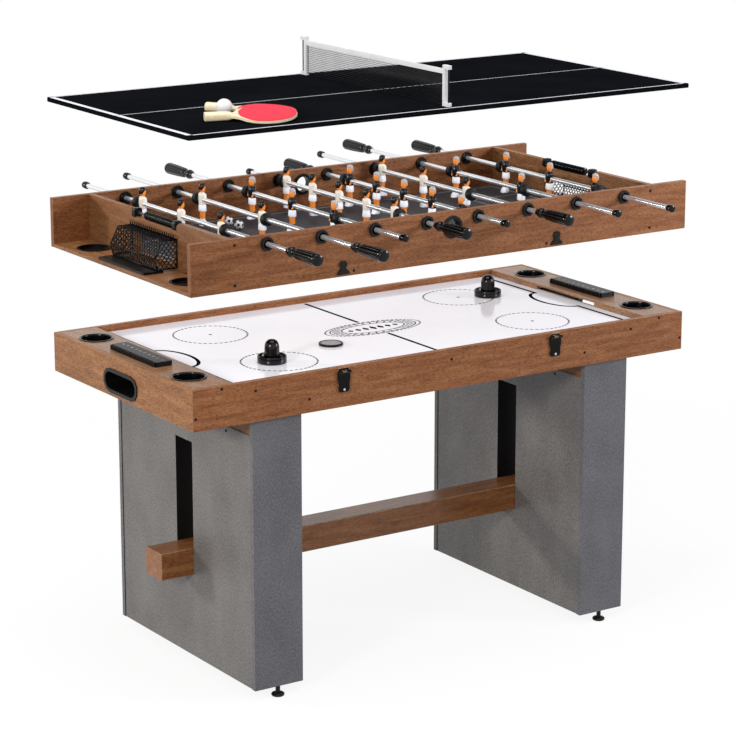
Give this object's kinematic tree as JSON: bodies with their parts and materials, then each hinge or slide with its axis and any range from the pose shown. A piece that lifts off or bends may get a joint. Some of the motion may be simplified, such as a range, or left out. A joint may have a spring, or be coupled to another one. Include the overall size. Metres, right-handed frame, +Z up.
{
  "type": "multi game table",
  "caption": "Three-in-one games table shown taken apart: slide-hockey base on two slotted box pedestals, lift-off table-football tray with player rods, lift-off table-tennis board with net.",
  "frame": {"origin": "on the floor, under the middle of the table's length and width", "axes": "+X along the table to the right, +Y to the back, +Z up"},
  "size_m": [1.5306, 1.3705, 1.561],
  "materials": {
    "wood_laminate": "printed wood grain, satin",
    "grey_laminate": "dark grey laminate, satin",
    "white_laminate": "white coated board, glossy",
    "green_laminate": "dark printed pitch, satin",
    "dark_laminate": "dark painted board, satin",
    "black_plastic": "moulded, glossy",
    "black_metal": "black lacquer",
    "black_rubber": "matt",
    "chromed_steel": "polished rods, with moulded handles and figures",
    "black_cloth": "knotted net with a white tape",
    "red_rubber": "matt sheet rubber on plywood",
    "white_plastic": "matt"
  },
  "bodies": {
    "table": {"front_apron": "wood_laminate", "pedestal_left_front_board": "grey_laminate", "cup_holder_front_left": "black_plastic", "pedestal_right_front_board": "grey_laminate", "cup_holder_front_right": "black_plastic", "back_apron": "wood_laminate", "pedestal_left_back_board": "grey_laminate", "cup_holder_back_left": "black_plastic", "pedestal_right_back_board": "grey_laminate", "cup_holder_back_right": "black_plastic", "left_end_apron": "wood_laminate", "left_deck": "wood_laminate", "left_deck_scorer": "black_plastic", "left_puck_return": "black_plastic", "pedestal_left_core": "grey_laminate", "right_end_apron": "wood_laminate", "right_deck": "wood_laminate", "right_deck_scorer": "black_plastic", "right_puck_return": "black_plastic", "pedestal_right_core": "grey_laminate", "hockey_field": "white_laminate", "stretcher_beam": "wood_laminate"},
    "football_unit": {"tray_front_wall": "wood_laminate", "tray_back_wall": "wood_laminate", "tray_left_wall": "wood_laminate", "tray_right_wall": "wood_laminate", "foosball_bed": "wood_laminate", "foosball_pitch": "green_laminate", "goal_cage_left": "black_metal", "goal_cage_right": "black_metal"},
    "tennis_unit": {"tennis_top": "dark_laminate", "tennis_net": "black_cloth", "bat_front": "red_rubber", "bat_rear": "red_rubber", "tennis_ball": "white_plastic"},
    "latch_front_left": {"latch_front_left": "black_metal"},
    "latch_front_right": {"latch_front_right": "black_metal"},
    "latch_back_left": {"latch_back_left": "black_metal"},
    "latch_back_right": {"latch_back_right": "black_metal"},
    "pusher_left": {"pusher_left": "black_plastic"},
    "pusher_right": {"pusher_right": "black_plastic"},
    "puck": {"puck": "black_plastic"},
    "score_beads_left": {"score_beads_left": "black_plastic"},
    "score_beads_right": {"score_beads_right": "black_plastic"},
    "rod_1_ring": {"bumper_1": "black_rubber"},
    "rod_1": {"rod_1_keeper": "chromed_steel"},
    "rod_2_ring": {"bumper_2": "black_rubber"},
    "rod_2": {"rod_2_defence": "chromed_steel"},
    "rod_3_ring": {"bumper_3": "black_rubber"},
    "rod_3": {"rod_3_attack": "chromed_steel"},
    "rod_4_ring": {"bumper_4": "black_rubber"},
    "rod_4": {"rod_4_midfield": "chromed_steel"},
    "rod_5_ring": {"bumper_5": "black_rubber"},
    "rod_5": {"rod_5_midfield": "chromed_steel"},
    "rod_6_ring": {"bumper_6": "black_rubber"},
    "rod_6": {"rod_6_attack": "chromed_steel"},
    "rod_7_ring": {"bumper_7": "black_rubber"},
    "rod_7": {"rod_7_defence": "chromed_steel"},
    "rod_8_ring": {"bumper_8": "black_rubber"},
    "rod_8": {"rod_8_keeper": "chromed_steel"}
  },
  "joints": [
    {"name": "football_lift", "type": "slide", "parent": "table", "child": "football_unit", "axis": [0, 0, 1], "range_m": [-0.184, 0]},
    {"name": "tennis_lift", "type": "slide", "parent": "football_unit", "child": "tennis_unit", "axis": [0, 0, 1], "range_m": [-0.188, 0]},
    {"name": "latch_front_left_swing", "type": "hinge", "parent": "table", "child": "latch_front_left", "pos_m": [-0.33, -0.3685, 0.826], "axis": [-1, 0, 0], "range_deg": [0, 120]},
    {"name": "latch_front_right_swing", "type": "hinge", "parent": "table", "child": "latch_front_right", "pos_m": [0.33, -0.3685, 0.826], "axis": [-1, 0, 0], "range_deg": [0, 120]},
    {"name": "latch_back_left_swing", "type": "hinge", "parent": "table", "child": "latch_back_left", "pos_m": [-0.33, 0.3685, 0.826], "axis": [1, 0, 0], "range_deg": [0, 120]},
    {"name": "latch_back_right_swing", "type": "hinge", "parent": "table", "child": "latch_back_right", "pos_m": [0.33, 0.3685, 0.826], "axis": [1, 0, 0], "range_deg": [0, 120]},
    {"name": "pusher_left_glide", "type": "slide", "parent": "table", "child": "pusher_left", "axis": [1, 0, 0], "range_m": [-0.184, 0.3815]},
    {"name": "pusher_right_glide", "type": "slide", "parent": "table", "child": "pusher_right", "axis": [1, 0, 0], "range_m": [-0.4395, 0.126]},
    {"name": "puck_glide", "type": "slide", "parent": "table", "child": "puck", "axis": [1, 0, 0], "range_m": [-0.4135, 0.8055]},
    {"name": "score_beads_left_slide", "type": "slide", "parent": "football_unit", "child": "score_beads_left", "axis": [0, 1, 0], "range_m": [0, 0.0444]},
    {"name": "score_beads_right_slide", "type": "slide", "parent": "football_unit", "child": "score_beads_right", "axis": [0, 1, 0], "range_m": [-0.0247, 0.0197]},
    {"name": "rod_1_slide", "type": "slide", "parent": "football_unit", "child": "rod_1_ring", "axis": [0, 1, 0], "range_m": [-0.1646, 0.0586]},
    {"name": "rod_1_spin", "type": "hinge", "parent": "rod_1_ring", "child": "rod_1", "pos_m": [-0.5495, 0.053, 1.1745], "axis": [0, 1, 0], "continuous": true},
    {"name": "rod_2_slide", "type": "slide", "parent": "football_unit", "child": "rod_2_ring", "axis": [0, 1, 0], "range_m": [-0.2276, 0.0956]},
    {"name": "rod_2_spin", "type": "hinge", "parent": "rod_2_ring", "child": "rod_2", "pos_m": [-0.3925, 0.066, 1.1745], "axis": [0, 1, 0], "continuous": true},
    {"name": "rod_3_slide", "type": "slide", "parent": "football_unit", "child": "rod_3_ring", "axis": [0, 1, 0], "range_m": [-0.1356, 0.0876]},
    {"name": "rod_3_spin", "type": "hinge", "parent": "rod_3_ring", "child": "rod_3", "pos_m": [-0.2355, 0.024, 1.1745], "axis": [0, 1, 0], "continuous": true},
    {"name": "rod_4_slide", "type": "slide", "parent": "football_unit", "child": "rod_4_ring", "axis": [0, 1, 0], "range_m": [-0.0946, 0.0086]},
    {"name": "rod_4_spin", "type": "hinge", "parent": "rod_4_ring", "child": "rod_4", "pos_m": [-0.0785, 0.043, 1.1745], "axis": [0, 1, 0], "continuous": true},
    {"name": "rod_5_slide", "type": "slide", "parent": "football_unit", "child": "rod_5_ring", "axis": [0, 1, 0], "range_m": [-0.0226, 0.0806]},
    {"name": "rod_5_spin", "type": "hinge", "parent": "rod_5_ring", "child": "rod_5", "pos_m": [0.0785, -0.029, 1.1745], "axis": [0, 1, 0], "continuous": true},
    {"name": "rod_6_slide", "type": "slide", "parent": "football_unit", "child": "rod_6_ring", "axis": [0, 1, 0], "range_m": [-0.2196, 0.0036]},
    {"name": "rod_6_spin", "type": "hinge", "parent": "rod_6_ring", "child": "rod_6", "pos_m": [0.2355, 0.108, 1.1745], "axis": [0, 1, 0], "continuous": true},
    {"name": "rod_7_slide", "type": "slide", "parent": "football_unit", "child": "rod_7_ring", "axis": [0, 1, 0], "range_m": [-0.1881, 0.1351]},
    {"name": "rod_7_spin", "type": "hinge", "parent": "rod_7_ring", "child": "rod_7", "pos_m": [0.3925, 0.0265, 1.1745], "axis": [0, 1, 0], "continuous": true},
    {"name": "rod_8_slide", "type": "slide", "parent": "football_unit", "child": "rod_8_ring", "axis": [0, 1, 0], "range_m": [-0.0696, 0.1536]},
    {"name": "rod_8_spin", "type": "hinge", "parent": "rod_8_ring", "child": "rod_8", "pos_m": [0.5495, -0.042, 1.1745], "axis": [0, 1, 0], "continuous": true}
  ]
}
